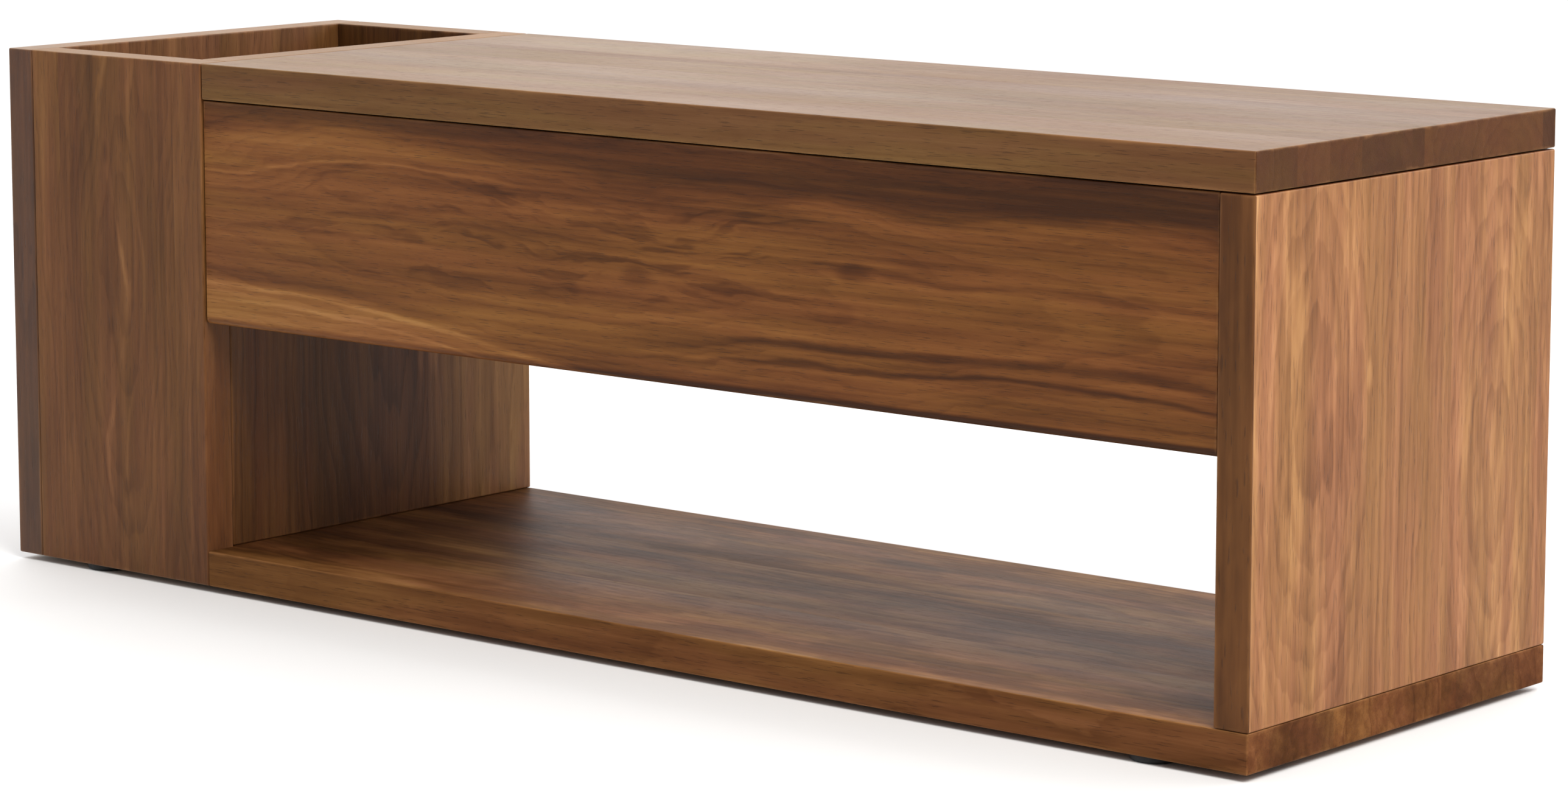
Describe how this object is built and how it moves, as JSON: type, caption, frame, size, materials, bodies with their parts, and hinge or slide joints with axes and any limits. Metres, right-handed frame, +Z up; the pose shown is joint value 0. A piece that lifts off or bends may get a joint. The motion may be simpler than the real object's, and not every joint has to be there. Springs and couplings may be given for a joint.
{
  "type": "lift top coffee table",
  "caption": "Low rectangular walnut coffee table with an open top bin at one end, an open shelf below, and a lid that lifts up and forward on parallel steel arms over a storage compartment.",
  "frame": {"origin": "on the floor under the centre of the bounding box", "axes": "+X along the length towards the closed end panel, the bin is at -X; -Y is the front; +Z up"},
  "size_m": [1.22, 0.374, 0.42],
  "materials": {
    "walnut_front": "satin oiled walnut, horizontal grain",
    "walnut_pillar": "satin oiled walnut, vertical grain",
    "walnut_lid": "satin oiled walnut with a soft sheen",
    "walnut_end": "satin oiled walnut, light vertical grain",
    "beech": "plain",
    "steel": "zinc plated",
    "black_steel": "satin black powder coat",
    "spring_steel": "bright drawn wire",
    "rubber": "matt",
    "clear_rubber": "satin"
  },
  "bodies": {
    "carcass": {"base_board": "walnut_front", "left_end_panel": "walnut_pillar", "right_end_panel": "walnut_end", "pillar_front_panel": "walnut_pillar", "divider_panel": "walnut_pillar", "bin_back_panel": "walnut_pillar", "compartment_floor": "walnut_front", "front_apron": "walnut_front", "back_apron": "walnut_front", "glide_front_left": "rubber", "glide_front_right": "rubber", "glide_back_left": "rubber", "glide_back_right": "rubber", "lid_bumper_front_left": "clear_rubber", "lid_bumper_front_right": "clear_rubber", "lid_bumper_back_left": "clear_rubber", "lid_bumper_back_right": "clear_rubber", "dowel_left_front": "beech", "dowel_left_back": "beech", "dowel_divider_front": "beech", "dowel_divider_back": "beech", "dowel_right_front": "beech", "dowel_right_back": "beech", "left_base_bracket": "black_steel", "left_base_pin_front": "steel", "left_base_pin_rear": "steel", "left_lift_spring": "spring_steel", "left_stop_bush": "rubber", "left_base_screw_1": "steel", "left_base_screw_2": "steel", "left_base_screw_3": "steel", "right_base_bracket": "black_steel", "right_base_pin_front": "steel", "right_base_pin_rear": "steel", "right_lift_spring": "spring_steel", "right_stop_bush": "rubber", "right_base_screw_1": "steel", "right_base_screw_2": "steel", "right_base_screw_3": "steel"},
    "lid": {"lid_panel": "walnut_lid", "left_lid_bracket": "black_steel", "left_lid_pin_front": "steel", "left_lid_pin_rear": "steel", "left_lid_screw_1": "steel", "left_lid_screw_2": "steel", "left_lid_screw_3": "steel", "right_lid_bracket": "black_steel", "right_lid_pin_front": "steel", "right_lid_pin_rear": "steel", "right_lid_screw_1": "steel", "right_lid_screw_2": "steel", "right_lid_screw_3": "steel"},
    "left_front_arm": {"left_front_arm": "black_steel"},
    "left_rear_arm": {"left_rear_arm": "black_steel"},
    "right_front_arm": {"right_front_arm": "black_steel"},
    "right_rear_arm": {"right_rear_arm": "black_steel"}
  },
  "joints": [
    {"name": "left_front_arm_pivot", "type": "hinge", "parent": "carcass", "child": "left_front_arm", "pos_m": [-0.3781, -0.08, 0.338], "axis": [1, 0, 0], "range_deg": [0, 106]},
    {"name": "lid_pivot", "type": "hinge", "parent": "left_front_arm", "child": "lid", "pos_m": [-0.3781, 0.07912, 0.35472], "axis": [1, 0, 0], "range_deg": [-106, 0]},
    {"name": "right_front_arm_pivot", "type": "hinge", "parent": "carcass", "child": "right_front_arm", "pos_m": [0.5751, -0.08, 0.338], "axis": [1, 0, 0], "range_deg": [0, 106]},
    {"name": "left_rear_arm_pivot", "type": "hinge", "parent": "carcass", "child": "left_rear_arm", "pos_m": [-0.3781, -0.03545, 0.3153], "axis": [1, 0, 0], "range_deg": [0, 106]},
    {"name": "right_rear_arm_pivot", "type": "hinge", "parent": "carcass", "child": "right_rear_arm", "pos_m": [0.5751, -0.03545, 0.3153], "axis": [1, 0, 0], "range_deg": [0, 106]}
  ],
  "couplings": [
    {"joint": "lid_pivot", "follows": "left_front_arm_pivot", "ratio": -1},
    {"joint": "right_front_arm_pivot", "follows": "left_front_arm_pivot", "ratio": 1},
    {"joint": "left_rear_arm_pivot", "follows": "left_front_arm_pivot", "ratio": 1},
    {"joint": "right_rear_arm_pivot", "follows": "left_front_arm_pivot", "ratio": 1}
  ]
}
